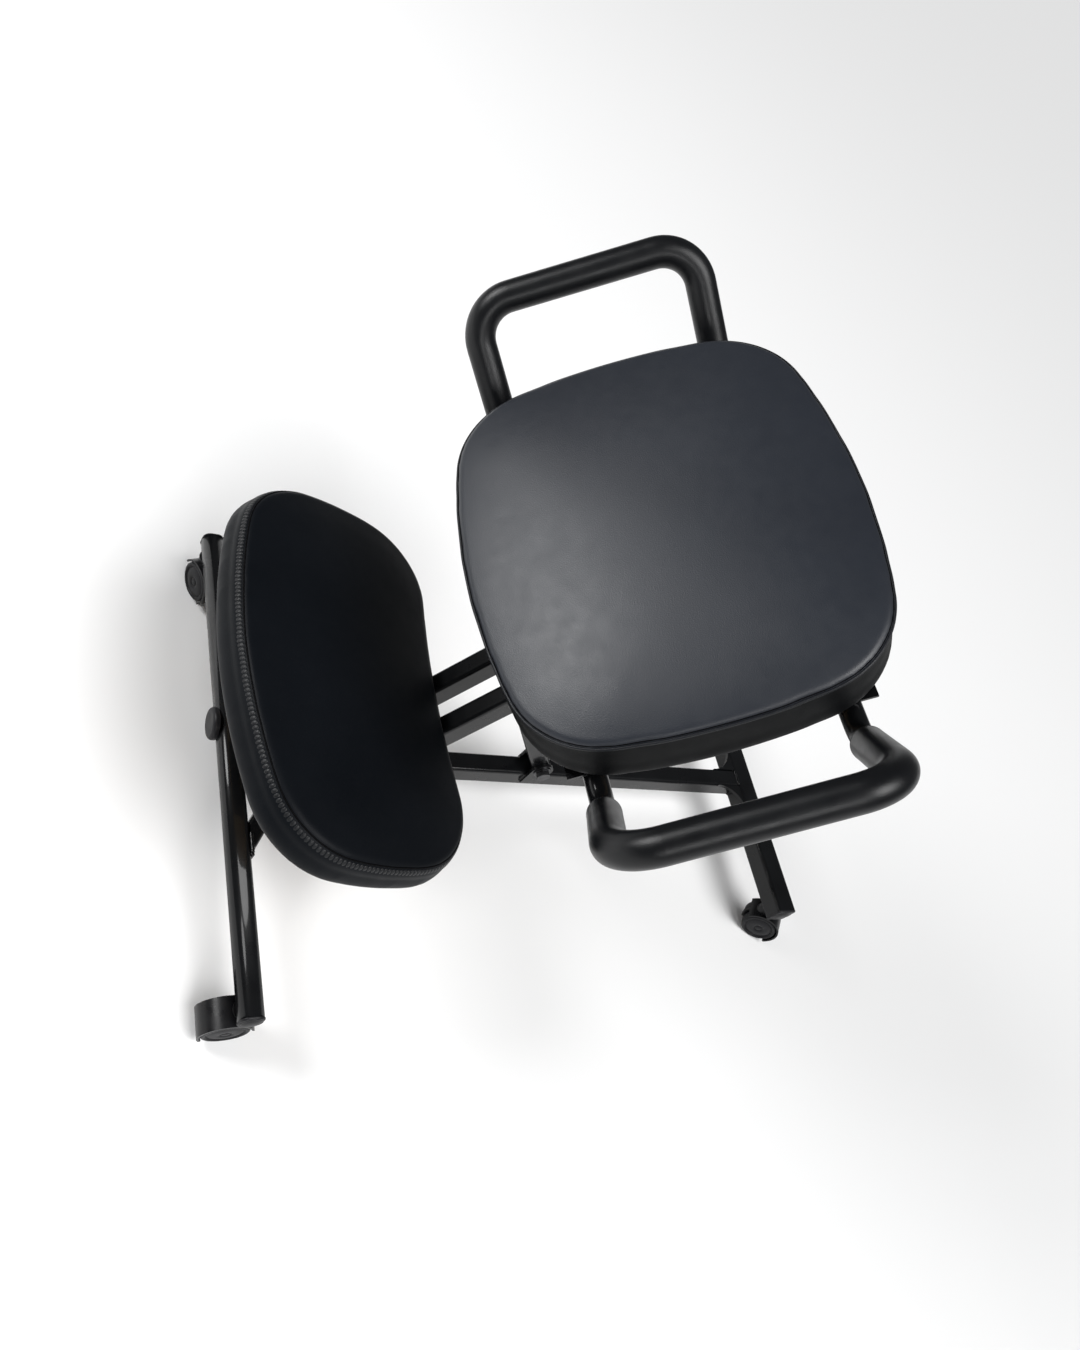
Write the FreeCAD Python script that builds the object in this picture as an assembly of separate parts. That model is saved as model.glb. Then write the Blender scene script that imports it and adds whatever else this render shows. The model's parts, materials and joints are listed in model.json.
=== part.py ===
import FreeCAD, Part
import math
import os

from FreeCAD import Rotation, Vector

# Kneeling chair with side handles on four hooded casters, in millimetres.
# X runs to the sitter's left, Y to the rear, Z up. The origin is on the floor under the middle
# of the chair's bounding box. Seat and knee pad have frames of their own: x, along and normal.

# Wheels and casters
wheelRadius = 24.0
wheelWide = 13.0
wheelSideGap = 0.7
wheelShoulder = 3.0
hubRecess = 2.0
hubRadius = 12.0
hoodGap = 1.2
hoodWall = 2.3
hoodWide = 31.0
hoodRearAngle = -38.0
hoodFrontAngle = 160.0
webThick = 5.0
axleRadius = 3.0
casterTrail = 10.0
bossRadius = 11.0
stemRadius = 5.0
stemRise = 20.0
stemGap = 1.0
stemSeat = 4.0
socketWall = 3.0
socketFlange = 1.2
socketHeadroom = 0.2
socketFlangeRadius = 12.0
swivelGap = 0.5
deckGap = 5.0
runningFit = 0.05
casterTurns = {"front_left": 180.0, "front_right": -70.0, "rear_left": -36.0, "rear_right": 36.0}
casterInset = 15.0

# Base: two crossbars joined by a spine
barSpacing = 738.0
frontBarHalf = 284.0
frontBarTall = 26.0
frontBarDeep = 25.0
frontBarCorner = 9.0
rearBarHalf = 196.0
rearBarTall = 30.0
rearBarDeep = 32.0
rearBarCorner = 5.0
spineWide = 25.0
spineTall = 30.0
tubeWall = 2.0
tubeCorner = 4.5
leastCorner = 0.8
capLip = 2.5
capPlug = 14.0
capFit = 0.1
braceReach = 100.0
braceSpineReach = 56.0
braceSize = 20.0
gussetLeg = 38.0
gussetThick = 5.0
bumperX = -35.0
bumperRadius = 18.0
bumperThick = 7.0
bumperEdge = 4.0

# Linkage: twin beams on the spine, held up by one strut
mainPivotY = -219.0
frontBarToPivot = 133.2
strutPivotSpacing = 245.0
earThick = 4.0
earRise = 14.0
earHalf = 14.0
earDrop = 18.0
beamAngle = 64.9
beamLength = 542.0
beamWide = 22.0
beamDeep = 30.0
beamFoot = 18.0
boltReach = 237.4
reclineTravel = 12.0
slotGap = 0.3
strutDeep = 24.0
strutSideGap = 0.5
sideGap = 0.3
spacerThick = 1.9
spacerRadius = 13.0
pivotBoltRadius = 5.0
boltHeadRadius = 9.0
boltHeadTall = 6.5
washerRadius = 11.0
washerThick = 1.5
clampWasherRadius = 15.0
clampWasherThick = 2.0
knobRadius = 22.0
knobThick = 20.0
knobLobes = 5
knobScoop = 8.0
knobBoss = 9.0
knobBossTall = 5.0
knobInsertRadius = 7.5
knobInsertDeep = 14.0
boltShortfall = 1.0
beamTieTall = 22.0

# Seat
seatTilt = 41.9
seatOffset = 108.3
seatHalfWide = 202.5
seatHalfDeep = 180.5
seatSideBow = 600.0
seatCorner = 89.0
seatThick = 64.0
seatCrown = 19.0
seatPlateThick = 3.0
seatPlateHalfWide = 80.0
seatPlateFront = -80.0
seatPlateRear = 150.0
cheekThick = 3.0
cheekDrop = 62.0
boardThick = 12.0
boardInset = 9.0
boardProud = 2.0
padUndercut = 3.0
crownShares = (0.0, 0.03, 0.09, 0.2, 0.38, 0.62, 0.88)
seatSideBulge = 3.0
screwRadius = 4.0
screwHeadRadius = 7.5
screwHeadTall = 4.0
teeNutRadius = 5.5
teeNutFlange = 11.0
teeNutFlangeThick = 1.5
seatScrewX = 60.0
seatScrewMargin = 18.0

# Handles
handleBarX = 294.0
handleBarRise = 30.0
handleHalf = 114.0
handleTubeRadius = 11.0
handleTubeWall = 1.5
handleElbowX = 212.0
handleFootX = 88.0
handleElbowBend = 28.0
handleTopBend = 40.0
gripRadius = 15.5
gripFit = 0.05
gripStart = 6.0
footPlateHalfWide = 24.0
footPlateMargin = 14.0
footScrewSide = 17.0
footScrewInset = 19.0

# Knee pad
kneeTilt = -15.9
kneeReach = 105.0
kneeForward = 140.9
kneeHalfWide = 208.0
kneeFront = 120.0
kneeRear = 116.0
kneeFrontBow = 560.0
kneeRearBow = -900.0
kneeEndBow = 330.0
kneeCornerFront = 88.0
kneeCornerRear = 78.0
kneeEndShift = 4.0
kneeThick = 45.0
kneeCrown = 13.0
kneeSideBulge = 9.0
kneeArmWide = 20.0
kneeArmTall = 20.0
kneeArmFront = 75.0
kneePlateHalfWide = 90.0
kneePlateFront = 80.0
kneePlateRear = 70.0
kneeScrewX = 72.0
kneeScrewMargin = 16.0

# Worked out from the sizes above
hoodRadius = wheelRadius + hoodGap + hoodWall
deckHeight = wheelRadius + hoodRadius + deckGap
frontBarY = mainPivotY - frontBarToPivot
rearBarY = frontBarY + barSpacing
spineTop = deckHeight + spineTall
mainPivot = Vector(0, mainPivotY, deckHeight + spineTall / 2)
strutPivot = Vector(0, mainPivotY + strutPivotSpacing, spineTop + earRise)
beamInner = spineWide / 2 + spacerThick + sideGap
beamOuter = beamInner + beamWide
strutWide = spineWide - 2 * strutSideGap
acrossX = Vector(1, 0, 0)


def turned(angle, along, across):
    """The point of the YZ plane that lies along and across a line at this angle."""
    a = math.radians(angle)
    return Vector(0, along * math.cos(a) - across * math.sin(a), along * math.sin(a) + across * math.cos(a))


def angleOf(point):
    return math.degrees(math.atan2(point.z, point.y))


def box(x0, x1, y0, y1, z0, z1):
    return Part.makeBox(x1 - x0, y1 - y0, z1 - z0, Vector(x0, y0, z0))


def rod(radius, start, end):
    return Part.makeCylinder(radius, (end - start).Length, start, end - start)


def crossRod(radius, x0, x1, centre):
    """A round bar along X, centred on a point of the YZ plane."""
    return rod(radius, Vector(x0, centre.y, centre.z), Vector(x1, centre.y, centre.z))


def ring(outer, inner, start, end):
    return rod(outer, start, end).cut(rod(inner, start, end))


def hexagon(radius, x0, x1, centre):
    """A bolt head or nut along X, its corners on this radius."""
    corners = [Vector(x0, centre.y, centre.z) + turned(60 * i, radius, 0) for i in range(7)]
    return Part.Face(Part.makePolygon(corners)).extrude(Vector(x1 - x0, 0, 0))


def roundedBar(wide, tall, corner, length):
    """A bar along Z from the origin, wide in X and tall in Y, with rounded long edges."""
    bar = box(-wide / 2, wide / 2, -tall / 2, tall / 2, 0, length)
    longEdges = [e for e in bar.Edges if abs(e.tangentAt(e.FirstParameter).z) > 0.99]
    return bar.makeFillet(corner, longEdges)


def tube(wide, tall, length, corner=tubeCorner):
    """A rectangular steel tube along Z from the origin."""
    return roundedBar(wide, tall, corner, length).cut(plugIn(wide, tall, corner, length, 0))


def plugIn(wide, tall, corner, length, gap):
    """A bar that fills a rectangular tube, less this gap all round."""
    inside = 2 * (tubeWall + gap)
    return roundedBar(wide - inside, tall - inside, max(corner - tubeWall, leastCorner), length)


def laidAlongX(shape, start):
    """Turns a bar built along Z to run along X, its tall side upright."""
    out = shape.copy()
    out.Placement = FreeCAD.Placement(start, Rotation(Vector(0, 0, 1), 90) * Rotation(acrossX, 90))
    return out


def laidAlongY(shape, start):
    """Turns a bar built along Z to run along Y, its tall side upright."""
    out = shape.copy()
    out.Placement = FreeCAD.Placement(start, Rotation(Vector(0, 0, 1), 180) * Rotation(acrossX, 90))
    return out


def onLine(shape, start, angle):
    """Turns a bar built along Z to run up a line of the YZ plane at this angle."""
    out = shape.copy()
    out.Placement = FreeCAD.Placement(start, Rotation(acrossX, angle - 90))
    return out


def mirrored(shape):
    return shape.mirror(Vector(0, 0, 0), acrossX)


def bothSides(shape):
    return Part.makeCompound([shape, mirrored(shape)])


def save(name, shape):
    shape.exportStep("parts/" + name + ".step")
    print(name, len(shape.Solids), "solids", round(shape.Volume / 1000, 1), "cm3")


def group(shapes):
    return Part.makeCompound([solid for shape in shapes for solid in shape.Solids])


# Base frame, a body of its own

def crossbar(halfLength, wide, tall, y, corner):
    centre = deckHeight + tall / 2
    bar = laidAlongX(tube(wide, tall, 2 * halfLength, corner), Vector(-halfLength, y, centre))
    for side in (-1, 1):
        stemX = side * (halfLength - casterInset)
        mouth = Vector(stemX, y, deckHeight)
        bar = bar.cut(rod(stemRadius + socketWall, mouth, mouth + Vector(0, 0, tall / 2)))
    return bar


def endCap(halfLength, wide, tall, y, corner):
    """A moulded cap: a domed lip over the end of the tube and a plug inside it."""
    centre = deckHeight + tall / 2
    lip = laidAlongX(roundedBar(wide, tall, corner, capLip), Vector(halfLength, y, centre))
    farEdges = [e for e in lip.Edges if e.BoundBox.XMin > halfLength + capLip - 0.01]
    lip = lip.makeFillet(capLip * 0.8, farEdges)
    plug = plugIn(wide, tall, corner, capPlug, capFit)
    plug = laidAlongX(plug, Vector(halfLength - capPlug, y, centre))
    socket = Vector(halfLength - casterInset, y, 0)
    socketRoom = rod(stemRadius + socketWall + capFit, socket, socket + Vector(0, 0, spineTop + tall))
    return lip.fuse(plug).cut(socketRoom).removeSplitter()


def cornerDrop(wide, corner):
    """How far a crossbar's top wall curves down, inside, at the edge of the stem's sleeve."""
    inside = max(corner - tubeWall, leastCorner)
    over = stemRadius + socketWall - (wide / 2 - tubeWall - inside)
    return inside - math.sqrt(max(inside ** 2 - max(over, 0) ** 2, 0))


def stemSocket(x, y, wide, tall, corner):
    """The sleeve in the crossbar that a caster's stem turns in."""
    bottom = Vector(x, y, deckHeight)
    top = bottom + Vector(0, 0, tall - tubeWall - cornerDrop(wide, corner) - socketHeadroom)
    sleeve = rod(stemRadius + socketWall, bottom, top)
    flange = rod(socketFlangeRadius, bottom - Vector(0, 0, socketFlange), bottom)
    boreTop = bottom + Vector(0, 0, stemRise + stemGap)
    bore = rod(stemRadius + runningFit, bottom - Vector(0, 0, socketFlange), boreTop)
    return sleeve.fuse(flange).cut(bore)


bars = {
    "front": (frontBarHalf, frontBarDeep, frontBarTall, frontBarY, frontBarCorner),
    "rear": (rearBarHalf, rearBarDeep, rearBarTall, rearBarY, rearBarCorner),
}
for name, bar in bars.items():
    save(name + "_crossbar", crossbar(*bar))
save("crossbar_end_caps", group([bothSides(endCap(*bar)) for bar in bars.values()]))
save("caster_sockets", group([
    bothSides(stemSocket(halfLength - casterInset, y, wide, tall, corner))
    for halfLength, wide, tall, y, corner in bars.values()
]))

spineFront = frontBarY + frontBarDeep / 2
spineRear = rearBarY - rearBarDeep / 2
spine = laidAlongY(tube(spineWide, spineTall, spineRear - spineFront), Vector(0, spineFront, mainPivot.z))
spine = spine.cut(crossRod(pivotBoltRadius, -spineWide, spineWide, mainPivot))
save("spine_tube", spine)


def frontBrace():
    """A diagonal tube in the corner between the front crossbar and the spine."""
    barEnd = Vector(braceReach, spineFront, 0)
    spineEnd = Vector(spineWide / 2, spineFront + braceSpineReach, 0)
    run = spineEnd - barEnd
    overshoot = 2 * braceSize
    angle = math.degrees(math.atan2(run.y, run.x))
    bar = tube(braceSize, braceSize, run.Length + 2 * overshoot)
    bar.Placement = FreeCAD.Placement(Vector(), Rotation(Vector(0, 0, 1), angle + 90) * Rotation(acrossX, 90))
    start = barEnd - run.normalize() * overshoot + Vector(0, 0, deckHeight + frontBarTall / 2)
    bar.translate(start)
    room = box(spineWide / 2, 2 * braceReach, spineFront, spineFront + 2 * braceReach, 0, spineTop * 2)
    return bar.common(room)


def rearGusset():
    """A plate with a hollow round edge in the corner between the spine and the rear crossbar."""
    corner = Vector(spineWide / 2, spineRear, spineTop - gussetThick)
    alongBar = corner + Vector(gussetLeg, 0, 0)
    alongSpine = corner - Vector(0, gussetLeg, 0)
    middle = corner + Vector(1, -1, 0) * (gussetLeg * (1 - math.sqrt(0.5)))
    edges = [
        Part.makeLine(corner, alongBar),
        Part.Arc(alongBar, middle, alongSpine).toShape(),
        Part.makeLine(alongSpine, corner),
    ]
    return Part.Face(Part.Wire(edges)).extrude(Vector(0, 0, gussetThick))


def strutEar():
    """A rounded plate on the side of the spine that carries the strut's lower bolt."""
    inner = spineWide / 2
    outer = inner + earThick
    head = crossRod(earHalf, inner, outer, strutPivot)
    root = box(inner, outer, strutPivot.y - earHalf, strutPivot.y + earHalf, spineTop - earDrop, strutPivot.z)
    return head.fuse(root).removeSplitter().cut(crossRod(pivotBoltRadius, inner, outer, strutPivot))


def frontBumper():
    """The round plastic bumper on the front of the crossbar, just right of the spine."""
    face = frontBarY - frontBarDeep / 2
    centre = deckHeight + frontBarTall / 2
    bumper = rod(bumperRadius, Vector(bumperX, face, centre), Vector(bumperX, face - bumperThick, centre))
    nose = [e for e in bumper.Edges if e.BoundBox.YMax < face - bumperThick + 0.01]
    return bumper.makeFillet(bumperEdge, nose)


save("front_braces", bothSides(frontBrace()))
save("rear_gussets", bothSides(rearGusset()))
save("strut_ears", bothSides(strutEar()))
save("front_bumper", frontBumper())


def boltAcross(centre, reach):
    """A hexagon bolt along X with its head on the left, as long as the stack between reach."""
    head = hexagon(boltHeadRadius, reach, reach + boltHeadTall, centre)
    return crossRod(pivotBoltRadius, -reach - boltHeadTall - 2, reach, centre).fuse(head)


def lockNut(centre, reach):
    nut = hexagon(boltHeadRadius, -reach - boltHeadTall, -reach, centre)
    return nut.cut(crossRod(pivotBoltRadius, -reach - boltHeadTall, -reach, centre))


def washerPair(radius, inner, outer, centre):
    washer = crossRod(radius, inner, outer, centre).cut(crossRod(pivotBoltRadius, inner, outer, centre))
    return bothSides(washer)


pivotReach = beamOuter + sideGap + washerThick
strutReach = spineWide / 2 + earThick + washerThick
save("main_pivot_bolt", boltAcross(mainPivot, pivotReach))
save("main_pivot_nut", lockNut(mainPivot, pivotReach))
save("main_pivot_washers", washerPair(washerRadius, pivotReach - washerThick, pivotReach, mainPivot))
save("main_pivot_spacers", washerPair(spacerRadius, spineWide / 2, spineWide / 2 + spacerThick, mainPivot))
save("strut_bolt", boltAcross(strutPivot, strutReach))
save("strut_nut", lockNut(strutPivot, strutReach))
save("strut_washers", washerPair(washerRadius, strutReach - washerThick, strutReach, strutPivot))


# Casters: a swivelling hood with its stem, and a wheel pair on its axle

def atCaster(shape, x, y, turn):
    """Stands a caster shape, built with its stem on Z and its wheels towards +Y, under the crossbar."""
    out = shape.copy()
    out.Placement = FreeCAD.Placement(Vector(x, y, 0), Rotation(Vector(0, 0, 1), turn))
    return out


def casterHood():
    """The moulded body: a curved cover over the wheels, a web between them and a boss on top."""
    axle = Vector(0, casterTrail, wheelRadius)
    half = hoodWide / 2
    innerRadius = hoodRadius - hoodWall
    band = ring(hoodRadius, innerRadius, Vector(-half, axle.y, axle.z), Vector(half, axle.y, axle.z))
    reach = 3 * hoodRadius
    corners = [axle]
    for step in range(5):
        share = hoodRearAngle + (hoodFrontAngle - hoodRearAngle) * step / 4
        corners.append(axle + turned(share, reach, 0))
    corners.append(axle)
    sector = Part.Face(Part.makePolygon([p - Vector(half, 0, 0) for p in corners]))
    sector = sector.extrude(Vector(2 * half, 0, 0))
    cover = band.common(sector)
    web = crossRod(innerRadius + hoodWall / 2, -webThick / 2, webThick / 2, axle)
    webFoot = box(-webThick, webThick, axle.y - reach, axle.y + reach, -reach, axle.z - hubRadius)
    web = web.cut(webFoot)
    bossTop = deckHeight - socketFlange - swivelGap
    boss = rod(bossRadius, Vector(0, 0, axle.z + hoodGap), Vector(0, 0, bossTop))
    wheelRoom = crossRod(wheelRadius + hoodGap, -2 * half, 2 * half, axle)
    boss = boss.cut(wheelRoom)
    hood = cover.fuse([web, boss]).removeSplitter()
    hood = hood.cut(crossRod(axleRadius + runningFit, -webThick, webThick, axle))
    return hood.cut(rod(stemRadius, Vector(0, 0, bossTop - stemSeat), Vector(0, 0, bossTop)))


def casterStem():
    """The steel stem, seated in the boss and turning in the crossbar's socket."""
    bossTop = deckHeight - socketFlange - swivelGap
    return rod(stemRadius, Vector(0, 0, bossTop - stemSeat), Vector(0, 0, deckHeight + stemRise))


def casterWheel():
    """One wheel of the pair, on +X, with rounded shoulders and a dished hub cover."""
    inner = webThick / 2 + wheelSideGap
    outer = inner + wheelWide
    axle = Vector(0, casterTrail, wheelRadius)
    wheel = crossRod(wheelRadius, inner, outer, axle)
    rims = [e for e in wheel.Edges if e.BoundBox.XMax - e.BoundBox.XMin < 0.01]
    wheel = wheel.makeFillet(wheelShoulder, rims)
    dish = crossRod(hubRadius, outer - hubRecess, outer, axle)
    return wheel.cut(dish).cut(crossRod(axleRadius, inner, outer - hubRecess, axle))


hood = casterHood()
stem = casterStem()
wheelPair = bothSides(casterWheel())
axleHalf = webThick / 2 + wheelSideGap + wheelWide - hubRecess
axlePin = crossRod(axleRadius, -axleHalf, axleHalf, Vector(0, casterTrail, wheelRadius))
for end, bar in bars.items():
    for sideName, side in (("left", 1), ("right", -1)):
        corner = end + "_" + sideName
        place = (side * (bar[0] - casterInset), bar[3], casterTurns[corner])
        save("caster_hood_" + corner, atCaster(hood, *place))
        save("caster_stem_" + corner, atCaster(stem, *place))
        save("caster_wheels_" + corner, atCaster(wheelPair, *place))
        save("caster_axle_" + corner, atCaster(axlePin, *place))


# Linkage: how far the strut turns and the clamp bolt slides when the beams recline

clampPoint = mainPivot + turned(beamAngle, boltReach, 0)
strutRun = clampPoint - strutPivot
strutLength = strutRun.Length
strutAngle = angleOf(strutRun)


def boltDistance(recline):
    """Distance up the beam of a bolt held by the strut, with the beams reclined by this angle."""
    toStrut = strutPivot - mainPivot
    line = turned(beamAngle - recline, 1, 0)
    half = line.dot(toStrut)
    return half + math.sqrt(half ** 2 - toStrut.Length ** 2 + strutLength ** 2)


reclinedBolt = mainPivot + turned(beamAngle - reclineTravel, boltDistance(reclineTravel), 0)
strutTurn = strutAngle - angleOf(reclinedBolt - strutPivot)
strutRatio = strutTurn / reclineTravel
print("strut turns", round(strutRatio, 4), "times as far as the beams")


def boltInBeam(recline):
    """The bolt's place in the beam, across and along, when strut and beams turn at a fixed ratio."""
    bolt = strutPivot + turned(strutAngle - strutRatio * recline, strutLength, 0)
    reach = bolt - mainPivot
    return turned(angleOf(reach) - beamAngle + recline, reach.Length, 0)


def slotCutter():
    """The curved slot that the bolt follows, as a solid along X through both beams."""
    first, middle, last = [boltInBeam(reclineTravel * share) for share in (0, 0.5, 1)]
    half = pivotBoltRadius + slotGap
    centre = Part.Arc(first, middle, last).toShape().Curve.Center
    outward = [(p - centre).normalize() * half for p in (first, middle, last)]
    outer = [p + o for p, o in zip((first, middle, last), outward)]
    inner = [p - o for p, o in zip((first, middle, last), outward)]
    startTip = first - (middle - first).normalize() * half
    endTip = last + (last - middle).normalize() * half
    edges = [
        Part.Arc(outer[0], outer[1], outer[2]).toShape(),
        Part.Arc(outer[2], endTip, inner[2]).toShape(),
        Part.Arc(inner[2], inner[1], inner[0]).toShape(),
        Part.Arc(inner[0], startTip, outer[0]).toShape(),
    ]
    face = Part.Face(Part.Wire(edges))
    slot = face.extrude(Vector(4 * beamOuter, 0, 0))
    slot.translate(Vector(-2 * beamOuter, 0, 0))
    slot.Placement = FreeCAD.Placement(mainPivot, Rotation(acrossX, beamAngle)).multiply(slot.Placement)
    return slot


# Seat frame: x, along (to the rear) and normal (up), centred on the cushion's seam

seatMeets = mainPivot + turned(beamAngle, beamLength, 0)
plateUnderside = -seatThick - seatPlateThick
seatCentre = seatMeets - turned(seatTilt, seatOffset, plateUnderside)
kneeMeets = mainPivot + turned(beamAngle, kneeReach, 0)
kneePlateUnderside = -kneeThick - seatPlateThick
kneeCentre = kneeMeets - turned(kneeTilt, kneeForward, kneePlateUnderside - kneeArmTall / 2)


def onSeat(shape):
    out = shape.copy()
    out.Placement = FreeCAD.Placement(seatCentre, Rotation(acrossX, seatTilt)).multiply(out.Placement)
    return out


def onKnee(shape):
    out = shape.copy()
    out.Placement = FreeCAD.Placement(kneeCentre, Rotation(acrossX, kneeTilt)).multiply(out.Placement)
    return out


def cornerCentre(c1, d1, c2, d2):
    """Where circles about c1 and c2 cross, on the side away from the pad's middle."""
    run = c2 - c1
    along = (d1 ** 2 - d2 ** 2 + run.Length ** 2) / (2 * run.Length)
    aside = math.sqrt(d1 ** 2 - along ** 2)
    run.normalize()
    foot = c1 + run * along
    crossings = [foot + Vector(-run.y, run.x, 0) * s * aside for s in (1, -1)]
    return max(crossings, key=lambda p: p.x)


def padOutline(halfWide, front, rear, bows, corners, endShift, height):
    """A closed outline of tangent arcs, alike on both sides of x = 0. A negative bow is hollow."""
    frontBow, endBow, rearBow = bows
    frontCentre = Vector(0, frontBow - front, 0)
    rearCentre = Vector(0, rear - rearBow, 0)
    endCentre = Vector(halfWide - endBow, endShift, 0)

    def touch(centre, corner, bow):
        return centre + (corner - centre).normalize() * abs(bow)

    def onCircle(centre, a, b):
        middle = (a - centre).normalize() + (b - centre).normalize()
        return centre + middle.normalize() * (a - centre).Length

    right = []
    for sideCentre, bow, radius in ((frontCentre, frontBow, corners[0]), (rearCentre, rearBow, corners[1])):
        corner = cornerCentre(sideCentre, abs(bow - radius), endCentre, endBow - radius)
        right.append((corner, touch(sideCentre, corner, bow), touch(endCentre, corner, endBow)))
    (frontCorner, frontSide, frontEnd), (rearCorner, rearSide, rearEnd) = right
    half = [
        (frontSide, onCircle(frontCorner, frontSide, frontEnd), frontEnd),
        (frontEnd, onCircle(endCentre, frontEnd, rearEnd), rearEnd),
        (rearEnd, onCircle(rearCorner, rearEnd, rearSide), rearSide),
    ]
    flip = [tuple(Vector(-p.x, p.y, 0) for p in reversed(arc)) for arc in reversed(half)]
    across = [(rearSide, Vector(0, rear, 0), flip[0][0]), (flip[-1][2], Vector(0, -front, 0), frontSide)]
    arcs = half + across[:1] + flip + across[1:]
    lift = Vector(0, 0, height)
    return Part.Wire([Part.Arc(a + lift, b + lift, c + lift).toShape() for a, b, c in arcs])


def seatOutline(inset, height):
    share = 1 - inset / seatHalfDeep
    bows = [seatSideBow * share] * 3
    corners = [seatCorner * share] * 2
    deep = seatHalfDeep - inset
    return padOutline(seatHalfWide - inset, deep, deep, bows, corners, 0, height)


def kneeOutline(inset, height):
    share = 1 - inset / kneeFront
    bows = [bow * share for bow in (kneeFrontBow, kneeEndBow, kneeRearBow)]
    corners = [kneeCornerFront * share, kneeCornerRear * share]
    front, rear = kneeFront - inset, kneeRear - inset
    return padOutline(kneeHalfWide - inset, front, rear, bows, corners, kneeEndShift, height)


def cushion(outline, halfDeep, thick, crown, bulge):
    """A crowned cushion: sides drawn in at the seam and under the base, swelling between them."""
    base = -thick + boardProud
    side = [
        (padUndercut, base),
        (-0.4 * bulge, base + 0.12 * thick),
        (-bulge, -0.5 * thick),
        (-0.5 * bulge, -0.16 * thick),
        (0.0, 0.0),
    ]
    top = [(share * halfDeep, crown * (1 - (1 - share) ** 4) ** 0.6) for share in crownShares]
    lower = Part.makeLoft([outline(inset, height) for inset, height in side], True, False)
    upper = Part.makeLoft([outline(inset, height) for inset, height in top], True, False)
    return lower.fuse(upper)


def board(outline, thick):
    """The plywood board under a cushion, let into its underside."""
    return Part.Face(outline(boardInset, -thick)).extrude(Vector(0, 0, boardThick))


def screwAt(x, along, headAt, tip):
    """A round-headed screw along the pad's normal, driven from below."""
    head = rod(screwHeadRadius, Vector(x, along, headAt - screwHeadTall), Vector(x, along, headAt))
    return head.fuse(rod(screwRadius, Vector(x, along, headAt), Vector(x, along, tip)))


def teeNutAt(x, along, thick):
    """A tee nut sunk flush in the top of the board."""
    top = -thick + boardThick
    barrel = rod(teeNutRadius, Vector(x, along, -thick), Vector(x, along, top - teeNutFlangeThick))
    flange = rod(teeNutFlange, Vector(x, along, top - teeNutFlangeThick), Vector(x, along, top))
    bore = rod(screwRadius, Vector(x, along, -thick), Vector(x, along, top))
    return barrel.fuse(flange).cut(bore)


def teeNutHole(x, along, thick):
    top = -thick + boardThick
    barrel = rod(teeNutRadius, Vector(x, along, -thick), Vector(x, along, top))
    return barrel.fuse(rod(teeNutFlange, Vector(x, along, top - teeNutFlangeThick), Vector(x, along, top)))


seatScrews = [
    (x, along)
    for x in (-seatScrewX, seatScrewX)
    for along in (seatPlateFront + seatScrewMargin, seatPlateRear - seatScrewMargin)
]
footPlateInner = handleFootX - footPlateMargin / 2
footPlateOuter = handleElbowX - handleElbowBend
footScrews = [
    (side * x, end * (handleHalf + aside))
    for side in (-1, 1)
    for end in (-1, 1)
    for x, aside in (
        (footPlateInner + footPlateMargin, footScrewSide),
        (footPlateOuter - footScrewInset, -footScrewSide),
    )
]
kneeScrews = [
    (x, along)
    for x in (-kneeScrewX, kneeScrewX)
    for along in (-kneePlateFront + kneeScrewMargin, kneePlateRear - kneeScrewMargin)
]


def padSet(name, outline, halfDeep, thick, crown, bulge, screws, stand):
    """Saves a cushion, its board, its tee nuts and its screws."""
    plywood = board(outline, thick)
    soft = cushion(outline, halfDeep, thick, crown, bulge).cut(plywood)
    for x, along in screws:
        plywood = plywood.cut(teeNutHole(x, along, thick))
    under = -thick - seatPlateThick
    top = -thick + boardThick
    save(name + "_cushion", stand(soft))
    save(name + "_board", stand(plywood))
    save(name + "_tee_nuts", group([stand(teeNutAt(x, along, thick)) for x, along in screws]))
    save(name + "_screws", group([stand(screwAt(x, along, under, top)) for x, along in screws]))


boardScrews = seatScrews + footScrews
padSet("seat", seatOutline, seatHalfDeep, seatThick, seatCrown, seatSideBulge, boardScrews, onSeat)
padSet("knee", kneeOutline, kneeFront, kneeThick, kneeCrown, kneeSideBulge, kneeScrews, onKnee)


def seatPlate():
    plate = box(
        -seatPlateHalfWide, seatPlateHalfWide, seatPlateFront, seatPlateRear, plateUnderside, -seatThick
    )
    upright = [e for e in plate.Edges if abs(e.tangentAt(e.FirstParameter).z) > 0.99]
    plate = plate.makeFillet(tubeCorner * 2, upright)
    for x, along in seatScrews:
        plate = plate.cut(rod(screwRadius, Vector(x, along, plateUnderside), Vector(x, along, -seatThick)))
    return plate


def seatCheek():
    """A gusset between the seat plate and a beam's inner face, to the left of the middle."""
    slope = math.tan(math.radians(beamAngle - seatTilt))
    outer = beamInner
    inner = outer - cheekThick

    def beamLine(along):
        return plateUnderside + (along - seatOffset) * slope

    frontAlong = seatPlateFront + seatScrewMargin
    rearAlong = seatOffset
    lowAlong = frontAlong + cheekDrop / 2
    profile = [
        Vector(inner, frontAlong, plateUnderside),
        Vector(inner, rearAlong, plateUnderside),
        Vector(inner, lowAlong, beamLine(lowAlong)),
        Vector(inner, frontAlong, plateUnderside - cheekDrop / 2),
        Vector(inner, frontAlong, plateUnderside),
    ]
    return Part.Face(Part.makePolygon(profile)).extrude(Vector(outer - inner, 0, 0))


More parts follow.
